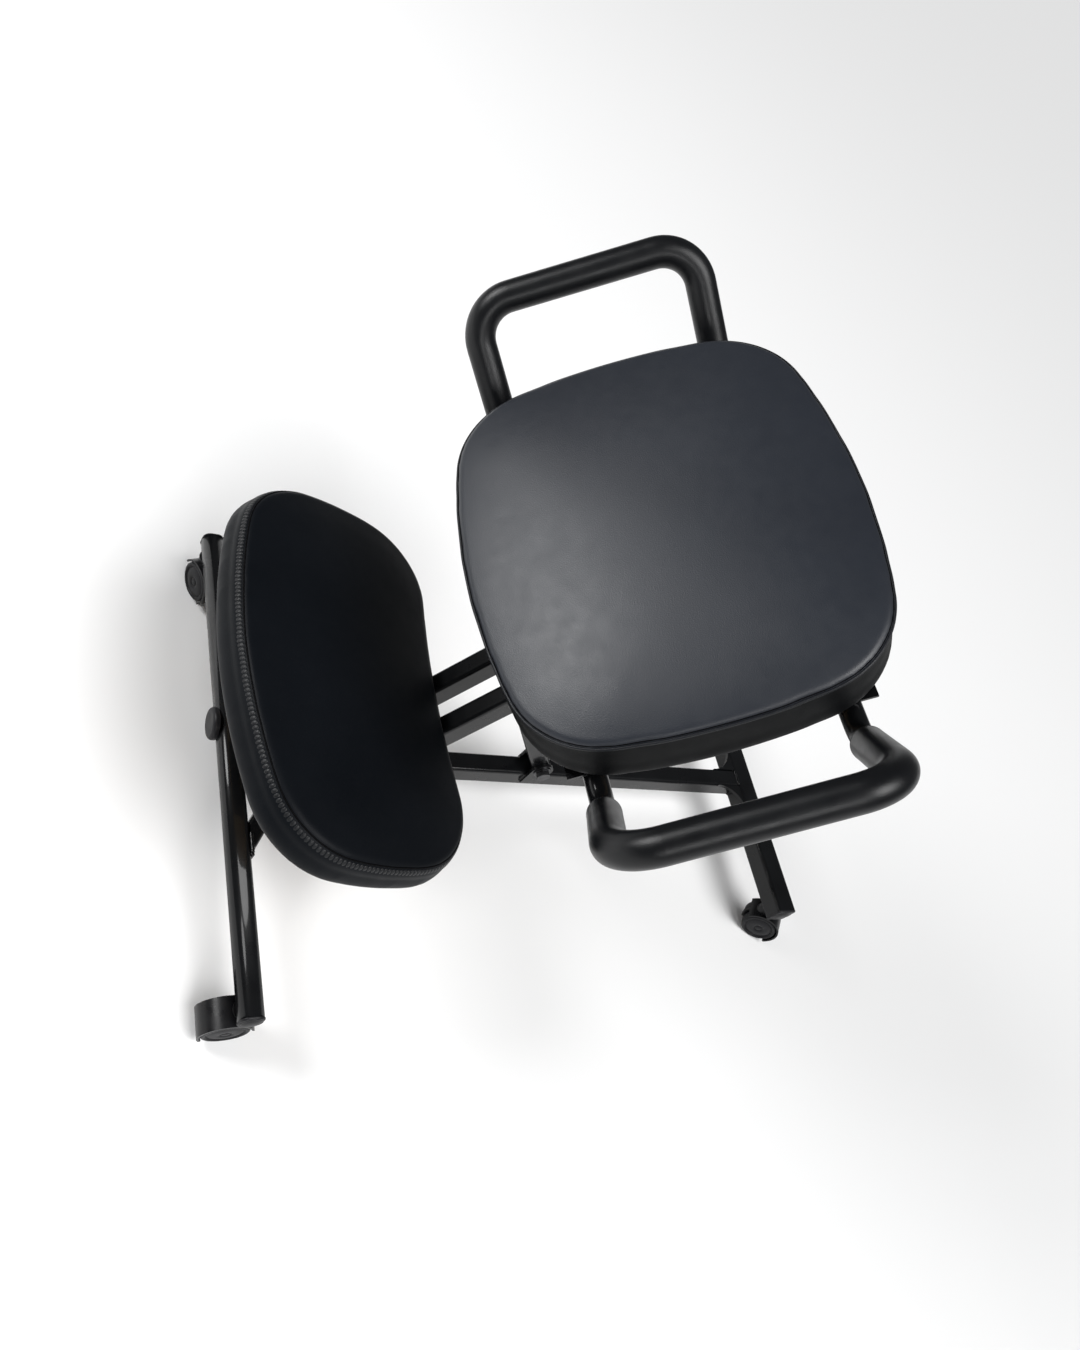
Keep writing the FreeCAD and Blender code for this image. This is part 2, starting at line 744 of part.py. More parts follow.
def beam():
    """The left beam: a tube from the main pivot up to the seat plate, slotted for the clamp bolt."""
    overshoot = 2 * beamDeep
    length = beamFoot + beamLength + overshoot
    start = mainPivot + turned(beamAngle, -beamFoot, 0) + Vector(beamInner + beamWide / 2, 0, 0)
    bar = onLine(tube(beamWide, beamDeep, length), start, beamAngle)
    reach = 4 * overshoot
    rear, front = seatOffset + reach, seatOffset - reach
    bar = bar.cut(onSeat(box(0, 2 * beamOuter, front, rear, plateUnderside, plateUnderside + reach)))
    return bar.cut(crossRod(pivotBoltRadius + runningFit, 0, 2 * beamOuter, mainPivot)).cut(slotCutter())


def beamCap():
    """The moulded plug in the lower end of the left beam."""
    x = beamInner + beamWide / 2
    end = mainPivot + turned(beamAngle, -beamFoot, 0) + Vector(x, 0, 0)
    lip = roundedBar(beamWide, beamDeep, tubeCorner, capLip)
    plug = plugIn(beamWide, beamDeep, tubeCorner, beamFoot - pivotBoltRadius - capLip, capFit)
    lip = onLine(lip, end - turned(beamAngle, capLip, 0), beamAngle)
    return lip.fuse(onLine(plug, end, beamAngle))


def beamTie():
    """The cross tube welded between the two beams."""
    tie = laidAlongX(tube(beamTieTall, beamTieTall, 2 * beamInner), Vector(-beamInner, 0, 0))
    tie.Placement = FreeCAD.Placement(kneeMeets, Rotation(acrossX, beamAngle)).multiply(tie.Placement)
    return tie


def kneeArm():
    """The tube from the left beam's outer face forwards under the knee pad."""
    length = kneeForward + beamDeep / 2 + kneeArmFront
    front = Vector(beamOuter + kneeArmWide / 2, -kneeArmFront, kneePlateUnderside - kneeArmTall / 2)
    return laidAlongY(tube(kneeArmWide, kneeArmTall, length), front)


def kneePlate():
    plate = box(
        -kneePlateHalfWide, kneePlateHalfWide, -kneePlateFront, kneePlateRear, kneePlateUnderside, -kneeThick
    )
    upright = [e for e in plate.Edges if abs(e.tangentAt(e.FirstParameter).z) > 0.99]
    plate = plate.makeFillet(tubeCorner * 2, upright)
    for x, along in kneeScrews:
        low = Vector(x, along, kneePlateUnderside)
        plate = plate.cut(rod(screwRadius, low, low + Vector(0, 0, seatPlateThick)))
    return plate


leftBeam = beam()
save("left_beam", leftBeam)
save("right_beam", mirrored(leftBeam))
save("beam_caps", bothSides(beamCap()))
save("beam_tie", beamTie())
save("seat_plate", onSeat(seatPlate()))
save("seat_cheeks", bothSides(onSeat(seatCheek())))
save("knee_arms", bothSides(onKnee(kneeArm())))
save("knee_plate", onKnee(kneePlate()))


# Handles: a bent tube on each side of the seat, with a foam grip over its loop

def bentPath(points, bends):
    """A wire of straight runs joined by tangent arcs, one bend radius for each inner point."""
    edges = []
    start = points[0]
    for before, corner, after, bend in zip(points, points[1:], points[2:], bends):
        back = (before - corner).normalize()
        ahead = (after - corner).normalize()
        half = back.getAngle(ahead) / 2
        tangent = bend / math.tan(half)
        middle = (back + ahead).normalize() * (bend / math.sin(half) - bend)
        edges.append(Part.makeLine(start, corner + back * tangent))
        edges.append(Part.Arc(corner + back * tangent, corner + middle, corner + ahead * tangent).toShape())
        start = corner + ahead * tangent
    edges.append(Part.makeLine(start, points[-1]))
    return Part.Wire(edges)


def swept(radius, points, bends):
    path = bentPath(points, bends)
    circle = Part.Wire(Part.makeCircle(radius, points[0], points[1] - points[0]))
    return path.makePipeShell([circle], True, True)


handleFootLevel = plateUnderside - handleTubeRadius
handleFoot = Vector(handleFootX, handleHalf, handleFootLevel)
handleElbow = Vector(handleElbowX, handleHalf, handleFootLevel)
handleTop = Vector(handleBarX, handleHalf, handleBarRise)
toFront = [Vector(p.x, -p.y, p.z) for p in (handleTop, handleElbow, handleFoot)]
handlePoints = [handleFoot, handleElbow, handleTop] + toFront
handleBends = [handleElbowBend, handleTopBend, handleTopBend, handleElbowBend]
handle = swept(handleTubeRadius, handlePoints, handleBends)
handle = handle.cut(swept(handleTubeRadius - handleTubeWall, handlePoints, handleBends))

armRun = (handleTop - handleElbow).normalize()
elbowTurn = armRun.getAngle(acrossX)
gripFoot = handleElbow + armRun * (handleElbowBend * math.tan(elbowTurn / 2) + gripStart)
gripPoints = [gripFoot, handleTop, toFront[0], Vector(gripFoot.x, -gripFoot.y, gripFoot.z)]
gripBends = [handleTopBend, handleTopBend]
grip = swept(gripRadius, gripPoints, gripBends).cut(swept(handleTubeRadius + gripFit, gripPoints, gripBends))


def footPlate(end):
    """The plate welded on a handle's foot and screwed up into the seat board."""
    centre = end * handleHalf
    plate = box(
        footPlateInner, footPlateOuter, centre - footPlateHalfWide, centre + footPlateHalfWide,
        plateUnderside, -seatThick,
    )
    for x, along in footScrews:
        plate = plate.cut(rod(screwRadius, Vector(x, along, plateUnderside), Vector(x, along, -seatThick)))
    return plate


save("left_handle_tube", onSeat(handle))
save("right_handle_tube", onSeat(mirrored(handle)))
save("left_grip", onSeat(grip))
save("right_grip", onSeat(mirrored(grip)))
save("handle_foot_plates", group([bothSides(onSeat(footPlate(end))) for end in (-1, 1)]))


# Strut with its clamp bolt, and the knob that tightens it

def strut():
    """A square tube with a bored eye at each end."""
    corner = min(tubeCorner, strutDeep / 4)
    bar = onLine(tube(strutWide, strutDeep, strutLength, corner), strutPivot, strutAngle)
    for centre in (strutPivot, clampPoint):
        bar = bar.cut(crossRod(strutDeep / 2, -strutWide / 2, strutWide / 2, centre))
        bar = bar.fuse(crossRod(strutDeep / 2, -strutWide / 2, strutWide / 2, centre))
    beyond = 2 * strutDeep
    for centre, angle in ((strutPivot, strutAngle + 180), (clampPoint, strutAngle)):
        tail = onLine(box(-beyond, beyond, -beyond, beyond, 0, beyond), centre, angle)
        tail = tail.cut(crossRod(strutDeep / 2, -beyond, beyond, centre))
        bar = bar.cut(tail)
    bar = bar.cut(crossRod(pivotBoltRadius + runningFit, -strutWide, strutWide, strutPivot))
    return bar.cut(crossRod(pivotBoltRadius, -strutWide, strutWide, clampPoint)).removeSplitter()


clampReach = beamOuter + sideGap + clampWasherThick
knobFace = clampReach + sideGap
knobEnd = knobFace + knobBossTall + knobThick


def clampBolt():
    """A round-headed bolt along X, head on the left and thread in the knob."""
    head = crossRod(boltHeadRadius + 1, clampReach, clampReach + boltHeadTall / 2, clampPoint)
    tip = -knobFace - knobInsertDeep + boltShortfall
    return head.fuse(crossRod(pivotBoltRadius, tip, clampReach, clampPoint))


def clampKnob():
    """A lobed hand knob on the right, with a boss towards the beam."""
    body = crossRod(knobRadius, -knobEnd, -knobFace - knobBossTall, clampPoint)
    for i in range(knobLobes):
        scoop = clampPoint + turned(360 * i / knobLobes, knobRadius + knobScoop / 2, 0)
        body = body.cut(crossRod(knobScoop, -knobEnd, -knobFace - knobBossTall, scoop))
    boss = crossRod(knobBoss, -knobFace - knobBossTall, -knobFace, clampPoint)
    return body.fuse(boss).cut(crossRod(knobInsertRadius, -knobFace - knobInsertDeep, -knobFace, clampPoint))


def knobInsert():
    far = -knobFace - knobInsertDeep
    sleeve = crossRod(knobInsertRadius, far, -knobFace, clampPoint)
    return sleeve.cut(crossRod(pivotBoltRadius + runningFit, far, -knobFace, clampPoint))


save("strut_tube", strut())
save("clamp_bolt", clampBolt())
save("clamp_washers", washerPair(clampWasherRadius, clampReach - clampWasherThick, clampReach, clampPoint))
save("strut_spacers", washerPair(spacerRadius, strutWide / 2, beamInner - sideGap, clampPoint))
save("clamp_knob", clampKnob())
save("clamp_knob_insert", knobInsert())

for label, point in (
    ("main pivot", mainPivot), ("strut pivot", strutPivot), ("clamp", clampPoint),
    ("seat centre", seatCentre), ("knee centre", kneeCentre),
):
    print(label, [round(v, 2) for v in point])
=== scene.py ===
import bmesh
import bpy
import json
import math
from mathutils import Matrix, Vector, noise


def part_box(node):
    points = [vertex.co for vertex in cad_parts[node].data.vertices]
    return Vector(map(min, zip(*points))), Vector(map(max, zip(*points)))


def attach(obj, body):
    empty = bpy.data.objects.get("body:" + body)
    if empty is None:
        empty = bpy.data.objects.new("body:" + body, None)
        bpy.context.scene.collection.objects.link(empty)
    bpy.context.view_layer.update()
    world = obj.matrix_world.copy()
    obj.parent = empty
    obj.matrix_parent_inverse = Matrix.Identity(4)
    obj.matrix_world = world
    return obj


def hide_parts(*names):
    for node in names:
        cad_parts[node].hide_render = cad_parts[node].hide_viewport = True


# Kneeling chair in metres: X to the sitter's left, Y to the rear, Z up, the floor at z = 0
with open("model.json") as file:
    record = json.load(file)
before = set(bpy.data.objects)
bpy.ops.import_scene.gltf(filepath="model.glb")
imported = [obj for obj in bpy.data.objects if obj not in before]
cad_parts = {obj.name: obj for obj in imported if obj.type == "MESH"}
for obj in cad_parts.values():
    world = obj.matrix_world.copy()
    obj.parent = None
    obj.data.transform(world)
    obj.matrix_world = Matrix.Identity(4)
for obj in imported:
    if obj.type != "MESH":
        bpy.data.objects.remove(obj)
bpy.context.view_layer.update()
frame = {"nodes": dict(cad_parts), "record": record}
joints = {joint["name"]: joint for joint in frame["record"]["behaviour"]["joints"]}
mainPivot = Vector(joints["seat_recline"]["pos_m"])
corners = ["front_left", "front_right", "rear_left", "rear_right"]

camera = {
    "fromPivot": (0.5480, -0.4958, 1.0164),  # where it stands, seen from the main pivot
    "ahead": (-0.47367, 0.54298, -0.69340),
    "right": (0.20755, 0.83398, 0.51128),
    "lens": 29.01,
    "sensor": 36,
}


def makeCamera():
    data = bpy.data.cameras.new("camera")
    data.lens = camera["lens"]
    data.sensor_width = camera["sensor"]
    view = bpy.data.objects.new("camera", data)
    ahead = Vector(camera["ahead"]).normalized()
    right = Vector(camera["right"]).normalized()
    up = right.cross(ahead)
    turn = Matrix((right, up, -ahead)).transposed().to_4x4()
    view.matrix_world = Matrix.Translation(mainPivot + Vector(camera["fromPivot"])) @ turn
    bpy.context.collection.objects.link(view)
    bpy.context.scene.camera = view


studio = {
    "floorColor": (0.86, 0.86, 0.86),
    "floorRoughness": 0.9,
    "skyColor": (0.96, 0.98, 1.0),
    "skyStrength": 0.11,
    "overhead": {"from": (0.50, 0.20, 0.9), "spread": 38, "strength": 2.9},
    "lamps": [  # place, aim, size, watts
        ((-1.0, -2.3, 1.8), (0.0, -0.15, 0.45), 1.3, 60),
        ((2.4, -0.8, 1.6), (0.0, -0.1, 0.35), 0.8, 14),
    ],
}


def makeStudio():
    bm = bmesh.new()
    bmesh.ops.create_grid(bm, x_segments=1, y_segments=1, size=12)
    mesh = bpy.data.meshes.new("floor")
    bm.to_mesh(mesh)
    floor = bpy.data.objects.new("floor", mesh)
    bpy.context.collection.objects.link(floor)
    pale = bpy.data.materials.new("paleFloor")
    pale.use_nodes = True
    paint = pale.node_tree.nodes["Principled BSDF"]
    paint.inputs["Base Color"].default_value = (*studio["floorColor"], 1)
    paint.inputs["Roughness"].default_value = studio["floorRoughness"]
    mesh.materials.append(pale)
    world = bpy.data.worlds.new("studio")
    world.use_nodes = True
    sky = world.node_tree.nodes["Background"]
    sky.inputs["Color"].default_value = (*studio["skyColor"], 1)
    sky.inputs["Strength"].default_value = studio["skyStrength"]
    bpy.context.scene.world = world
    bpy.context.scene.view_settings.view_transform = "Standard"
    data = bpy.data.lights.new("overhead", "SUN")  # one very wide soft light over the whole floor
    data.angle = math.radians(studio["overhead"]["spread"])
    data.energy = studio["overhead"]["strength"]
    lamp = bpy.data.objects.new(data.name, data)
    lamp.rotation_euler = (-Vector(studio["overhead"]["from"])).to_track_quat("-Z", "Y").to_euler()
    bpy.context.collection.objects.link(lamp)
    for number, (place, aim, size, watts) in enumerate(studio["lamps"]):
        data = bpy.data.lights.new("lamp" + str(number), "AREA")
        data.shape = "DISK"
        data.size = size
        data.energy = watts
        lamp = bpy.data.objects.new(data.name, data)
        lamp.location = place
        lamp.rotation_euler = (Vector(aim) - Vector(place)).to_track_quat("-Z", "Y").to_euler()
        bpy.context.collection.objects.link(lamp)


makeCamera()
makeStudio()
print("camera and studio ready")


class Shader:  # one material's nodes, all reading Object coordinates
    def __init__(self, name):
        self.material = bpy.data.materials.new(name)
        self.material.use_nodes = True
        self.tree = self.material.node_tree
        self.surface = self.tree.nodes["Principled BSDF"]
        self.coords = self.tree.nodes.new("ShaderNodeTexCoord").outputs["Object"]

    def noise(self, scale, detail=3.0, roughness=0.5, stretch=(1, 1, 1)):
        mapping = self.tree.nodes.new("ShaderNodeMapping")
        mapping.inputs["Scale"].default_value = stretch
        self.tree.links.new(self.coords, mapping.inputs["Vector"])
        node = self.tree.nodes.new("ShaderNodeTexNoise")
        node.inputs["Scale"].default_value = scale
        node.inputs["Detail"].default_value = detail
        node.inputs["Roughness"].default_value = roughness
        self.tree.links.new(mapping.outputs["Vector"], node.inputs["Vector"])
        return node.outputs["Fac"]

    def cells(self, scale, feature="F1"):
        node = self.tree.nodes.new("ShaderNodeTexVoronoi")
        node.feature = feature
        node.inputs["Scale"].default_value = scale
        if feature == "SMOOTH_F1":
            node.inputs["Smoothness"].default_value = 0.4
        self.tree.links.new(self.coords, node.inputs["Vector"])
        return node.outputs["Distance"]

    def colors(self, value, stops):
        node = self.tree.nodes.new("ShaderNodeValToRGB")
        ramp = node.color_ramp
        ramp.elements[0].position, ramp.elements[0].color = stops[0][0], (*stops[0][1], 1)
        ramp.elements[1].position, ramp.elements[1].color = stops[-1][0], (*stops[-1][1], 1)
        for place, color in stops[1:-1]:
            ramp.elements.new(place).color = (*color, 1)
        self.tree.links.new(value, node.inputs["Fac"])
        self.tree.links.new(node.outputs["Color"], self.surface.inputs["Base Color"])

    def roughness(self, value, low, high):
        node = self.tree.nodes.new("ShaderNodeMapRange")
        for name, limit in (("From Min", 0.3), ("From Max", 0.7), ("To Min", low), ("To Max", high)):
            node.inputs[name].default_value = limit
        self.tree.links.new(value, node.inputs["Value"])
        self.tree.links.new(node.outputs["Result"], self.surface.inputs["Roughness"])

    def bump(self, value, strength, distance):
        node = self.tree.nodes.new("ShaderNodeBump")
        node.inputs["Strength"].default_value = strength
        node.inputs["Distance"].default_value = distance
        self.tree.links.new(value, node.inputs["Height"])
        before = self.surface.inputs["Normal"].links
        if before:
            self.tree.links.new(before[0].from_socket, node.inputs["Normal"])
        self.tree.links.new(node.outputs["Normal"], self.surface.inputs["Normal"])

    def fixed(self, **values):
        for name, value in values.items():
            self.surface.inputs[name.replace("_", " ")].default_value = value
        return self.material


leatherette = {
    "creaseScale": 60, "creaseDepth": 0.0006,
    "grainScale": 1150, "grainDepth": 0.00022,
    "poreScale": 3200, "poreDepth": 0.0001,
}


def leatheretteLook(name, dark, light, rough, specular, sheen=0.0):
    look = Shader(name)
    look.colors(look.noise(9, 4), [(0.30, dark), (0.72, light)])
    look.roughness(look.noise(70, 3), rough - 0.02, rough + 0.03)
    look.bump(look.noise(leatherette["creaseScale"], 3), 0.05, leatherette["creaseDepth"])
    look.bump(look.cells(leatherette["grainScale"], "SMOOTH_F1"), 0.35, leatherette["grainDepth"])
    look.bump(look.noise(leatherette["poreScale"], 2), 0.18, leatherette["poreDepth"])
    return look.fixed(Specular_IOR_Level=specular, Sheen_Weight=sheen, Sheen_Roughness=0.5)


def coatedSteel():  # powder coat: a faint orange-peel skin with a few dusty patches
    look = Shader("powderCoatBlack")
    look.colors(look.noise(22, 5), [(0.25, (0.0030, 0.0032, 0.0036)), (0.75, (0.0060, 0.0064, 0.0072))])
    look.roughness(look.noise(35, 4), 0.24, 0.36)
    look.bump(look.noise(620, 2), 0.10, 0.0003)
    return look.fixed(Specular_IOR_Level=0.10, Coat_Weight=0.38, Coat_Roughness=0.08)


def gripFoam():  # closed-cell foam: fine pores and long soft mottling
    look = Shader("foamGripBlack")
    look.colors(look.noise(14, 4), [(0.28, (0.0024, 0.0027, 0.0034)), (0.74, (0.0045, 0.0049, 0.0060))])
    look.roughness(look.noise(60, 3), 0.30, 0.38)
    look.bump(look.noise(900, 3, 0.6), 0.30, 0.0004)
    look.bump(look.cells(1500), 0.20, 0.0002)
    return look.fixed(Specular_IOR_Level=0.30)


def mouldedPlastic(name, dark, light, rough, texture):
    look = Shader(name)
    look.colors(look.noise(30, 4), [(0.3, dark), (0.7, light)])
    look.roughness(look.noise(80, 3), rough - 0.05, rough + 0.07)
    look.bump(look.noise(texture, 2), 0.16, 0.00025)
    return look.fixed(Specular_IOR_Level=0.22)


def blackenedSteel():
    look = Shader("blackenedSteel")
    look.colors(look.noise(160, 4), [(0.3, (0.045, 0.045, 0.048)), (0.7, (0.12, 0.12, 0.125))])
    look.roughness(look.noise(300, 3), 0.28, 0.46)
    look.bump(look.noise(1400, 2), 0.12, 0.0002)
    return look.fixed(Metallic=1.0)


def plywoodLook():
    look = Shader("plywoodRaw")
    grain = look.noise(26, 6, 0.6, (14, 1, 1))
    look.colors(grain, [(0.30, (0.30, 0.19, 0.10)), (0.50, (0.42, 0.29, 0.16)), (0.72, (0.50, 0.37, 0.22))])
    look.roughness(grain, 0.62, 0.80)
    look.bump(grain, 0.3, 0.0006)
    return look.fixed(Specular_IOR_Level=0.3)


# a thread's look; given near-black colours it is also the cord that paints the shadow in a seam's groove
def threadAndSeamShadowLook(name, dark, light):
    look = Shader(name)
    look.colors(look.noise(700, 2), [(0.3, dark), (0.7, light)])
    look.roughness(look.noise(500, 2), 0.55, 0.75)
    look.bump(look.noise(2600, 2, 0.5, (1, 1, 3)), 0.4, 0.0002)
    return look.fixed(Specular_IOR_Level=0.05)


seatTopLook = leatheretteLook(
    "seatLeatherette", (0.0085, 0.0108, 0.0165), (0.0120, 0.0150, 0.0215),
    rough=0.42, specular=0.50, sheen=0.03,
)
seatSideLook = leatheretteLook(
    "seatSideLeatherette", (0.0024, 0.0027, 0.0032), (0.0040, 0.0044, 0.0050),
    rough=0.56, specular=0.06,
)
kneeLook = leatheretteLook(
    "kneeLeatherette", (0.0020, 0.0028, 0.0042), (0.0036, 0.0046, 0.0064),
    rough=0.48, specular=0.09,
)
steelLook = coatedSteel()
foamLook = gripFoam()
capLook = mouldedPlastic("capPlastic", (0.007, 0.007, 0.008), (0.013, 0.013, 0.015), 0.42, 700)
hoodLook = mouldedPlastic("hoodPlastic", (0.004, 0.004, 0.0045), (0.008, 0.008, 0.009), 0.30, 480)
wheelLook = mouldedPlastic("wheelPlastic", (0.005, 0.005, 0.006), (0.010, 0.010, 0.012), 0.45, 900)
spacerLook = mouldedPlastic("spacerNylon", (0.02, 0.02, 0.02), (0.035, 0.035, 0.036), 0.5, 900)
boltLook = blackenedSteel()
plyLook = plywoodLook()
pipingLook = leatheretteLook(
    "pipingLeatherette", (0.006, 0.007, 0.009), (0.011, 0.012, 0.015),
    rough=0.38, specular=0.25,
)
# painted shadow: a near-black cord laid in each seam's groove to darken it
seamShadowLook = threadAndSeamShadowLook("seamPaintedShadowCord", (0.0008, 0.0008, 0.0010), (0.0018, 0.0018, 0.0022))
stitchLook = threadAndSeamShadowLook("stitchThread", (0.012, 0.013, 0.016), (0.026, 0.028, 0.034))
# the gathers' leather, lighter than kneeLeatherette: painted highlight on the row of gathers
gatherHighlightLook = leatheretteLook(
    "gatheredLeatherettePaintedHighlight", (0.0040, 0.0046, 0.0056), (0.0070, 0.0078, 0.0092),
    rough=0.44, specular=0.30,
)
slotLooks = {
    "powder_coat": steelLook, "seat_cover": seatSideLook, "knee_cover": kneeLook, "plywood": plyLook,
    "grip_foam": foamLook, "cap_plastic": capLook, "caster_plastic": hoodLook,
    "wheel_plastic": wheelLook, "spacer_plastic": spacerLook, "fastener_steel": boltLook,
}
for entry in frame["record"]["subparts"]:
    for materialSlot in frame["nodes"][entry["node"]].material_slots:
        materialSlot.material = slotLooks[entry["material_slot"]]
print("materials ready on", len(frame["nodes"]), "nodes")


def addPiece(name, bm, body, looks):
    mesh = bpy.data.meshes.new(name)
    bm.to_mesh(mesh)
    bm.free()
    for look in looks:
        mesh.materials.append(look)
    mesh.shade_smooth()
    piece = bpy.data.objects.new(name, mesh)
    bpy.context.collection.objects.link(piece)
    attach(piece, body)
    return piece


def nodeCentre(node):
    low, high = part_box(node)
    return (Vector(low) + Vector(high)) / 2


def evaluatedMesh(piece):
    shown = piece.evaluated_get(bpy.context.evaluated_depsgraph_get())
    return bpy.data.meshes.new_from_object(shown)


def smoothStep(value, low, high):
    share = min(max((value - low) / (high - low), 0.0), 1.0)
    return share * share * (3 - 2 * share)


def tubeAlong(points, radius, closed, sides=3):
    # a round cord mesh through points that lie close together
    curve = bpy.data.curves.new("path", "CURVE")
    curve.dimensions = "3D"
    curve.bevel_depth = radius
    curve.bevel_resolution = sides
    curve.use_fill_caps = not closed
    spline = curve.splines.new("POLY")
    spline.points.add(len(points) - 1)
    for point, place in zip(spline.points, points):
        point.co = (*place, 1)
    spline.use_cyclic_u = closed
    holder = bpy.data.objects.new("path", curve)
    bpy.context.collection.objects.link(holder)
    bpy.context.view_layer.update()
    mesh = evaluatedMesh(holder)
    bpy.data.objects.remove(holder)
    bm = bmesh.new()
    bm.from_mesh(mesh)
    bpy.data.meshes.remove(mesh)
    bmesh.ops.remove_doubles(bm, verts=bm.verts, dist=1e-6)
    bmesh.ops.recalc_face_normals(bm, faces=bm.faces)
    return bm


# each pad's own frame has its top seam at z = 0 and its lower edge at z = -thick
seat = {
    "node": "seat_cushion", "tilt": 41.9, "thick": 0.064, "boardHalf": 0.006,
    "voxel": 0.005, "shrink": 0.004, "pressure": 4.0, "cap": 0.007, "frames": 20,
    "wrinkle": {"centre": (0.05, -0.08, 0.02), "spread": 0.16, "depth": 0.0003, "seed": 3.0},
}
seatNormal = Matrix.Rotation(math.radians(seat["tilt"]), 3, "X") @ Vector((0, 0, 1))
seatCentre = nodeCentre("seat_board") + seatNormal * (seat["thick"] - seat["boardHalf"])
seat["place"] = Matrix.Translation(seatCentre) @ Matrix.Rotation(math.radians(seat["tilt"]), 4, "X")

knee = {
    "node": "knee_cushion", "tilt": -15.9, "thick": 0.045, "plateHalf": 0.0015, "back": 0.005,
    "voxel": 0.005, "shrink": 0.004, "pressure": 4.0, "cap": 0.006, "frames": 20,
    "wrinkle": {"centre": (0.08, 0.02, 0.01), "spread": 0.18, "depth": 0.0003, "seed": 8.0},
}
kneeTurn = Matrix.Rotation(math.radians(knee["tilt"]), 4, "X")
kneeOffset = Vector((0, knee["back"], knee["thick"] + knee["plateHalf"]))
kneeCentre = nodeCentre("knee_plate") + (kneeTurn @ kneeOffset)
knee["place"] = Matrix.Translation(kneeCentre) @ kneeTurn

swell = {  # how far above a pad's lower edge, and how near its top seam, the cover is held
    "shrinkFrom": 0.006, "shrinkTo": 0.030, "shrinkSeam": 0.006,
    "pinFrom": 0.004, "pinTo": 0.016, "pinSeam": 0.004,
    "blowFrom": 0.006, "blowTo": 0.022,
}


def softened(bm, times):
    for _ in range(times):
        bmesh.ops.smooth_vert(
            bm, verts=bm.verts, factor=0.5, use_axis_x=True, use_axis_y=True, use_axis_z=True,
        )
    bm.normal_update()


def swollenPad(spec):
    # the pad in its own frame: remeshed, blown up a little against its pinned seam, and smoothed
    bm = bmesh.new()
    bm.from_mesh(frame["nodes"][spec["node"]].data)
    bmesh.ops.remove_doubles(bm, verts=bm.verts, dist=1e-5)
    bm.transform(spec["place"].inverted())
    bmesh.ops.recalc_face_normals(bm, faces=bm.faces)
    mesh = bpy.data.meshes.new("pad")
    bm.to_mesh(mesh)
    bm.free()
    pad = bpy.data.objects.new("pad", mesh)
    bpy.context.collection.objects.link(pad)
    remesh = pad.modifiers.new("remesh", "REMESH")
    remesh.mode = "VOXEL"
    remesh.voxel_size = spec["voxel"]
    bpy.context.view_layer.update()
    pad.data = evaluatedMesh(pad)
    pad.modifiers.clear()
    bm = bmesh.new()
    bm.from_mesh(pad.data)
    softened(bm, 3)
    low = -spec["thick"]
    for vert in bm.verts:
        edgeFree = smoothStep(vert.co.z, low + swell["shrinkFrom"], low + swell["shrinkTo"])
        seamFree = 1 - math.exp(-(vert.co.z / swell["shrinkSeam"]) ** 2)
        vert.co -= vert.normal * spec["shrink"] * edgeFree * seamFree
    bm.to_mesh(pad.data)
    bm.free()
    before = [vert.co.copy() for vert in pad.data.vertices]
    pinned = pad.vertex_groups.new(name="pinned")
    for vert in pad.data.vertices:
        edgeHold = 1 - smoothStep(vert.co.z, low + swell["pinFrom"], low + swell["pinTo"])
        seamHold = math.exp(-(vert.co.z / swell["pinSeam"]) ** 2)
        pinned.add([vert.index], max(edgeHold, seamHold), "REPLACE")
    cloth = pad.modifiers.new("cloth", "CLOTH")
    cloth.settings.use_pressure = True
    cloth.settings.uniform_pressure_force = spec["pressure"]
    cloth.settings.vertex_group_mass = "pinned"
    cloth.settings.effector_weights.gravity = 0
    cloth.point_cache.frame_start = 1
    cloth.point_cache.frame_end = spec["frames"]
    for number in range(1, spec["frames"] + 1):
        bpy.context.scene.frame_set(number)
    blown = evaluatedMesh(pad)
    pad.modifiers.clear()
    for vert, start in zip(blown.vertices, before):
        move = vert.co - start
        free = smoothStep(start.z, low + swell["blowFrom"], low + swell["blowTo"])
        vert.co = start + move * min(1.0, spec["cap"] / max(move.length, 1e-9)) * free
    pad.data = blown
    bpy.context.scene.frame_set(1)
    divide = pad.modifiers.new("divide", "SUBSURF")
    divide.levels = divide.render_levels = 1
    bpy.context.view_layer.update()
    mesh = evaluatedMesh(pad)
    bpy.data.objects.remove(pad)
    bm = bmesh.new()
    bm.from_mesh(mesh)
    softened(bm, 1)
    return bm


def loopAt(bm, height):
    # cuts the pad level at this height and gives the cut's points and outward directions, in order
    everything = bm.verts[:] + bm.edges[:] + bm.faces[:]
    cut = bmesh.ops.bisect_plane(bm, geom=everything, dist=1e-6, plane_co=(0, 0, height), plane_no=(0, 0, 1))
    bm.normal_update()
    verts = [item for item in cut["geom_cut"] if isinstance(item, bmesh.types.BMVert)]
    verts.sort(key=lambda vert: math.atan2(vert.co.y, vert.co.x))
    return [(vert.co.copy(), vert.normal.copy()) for vert in verts]


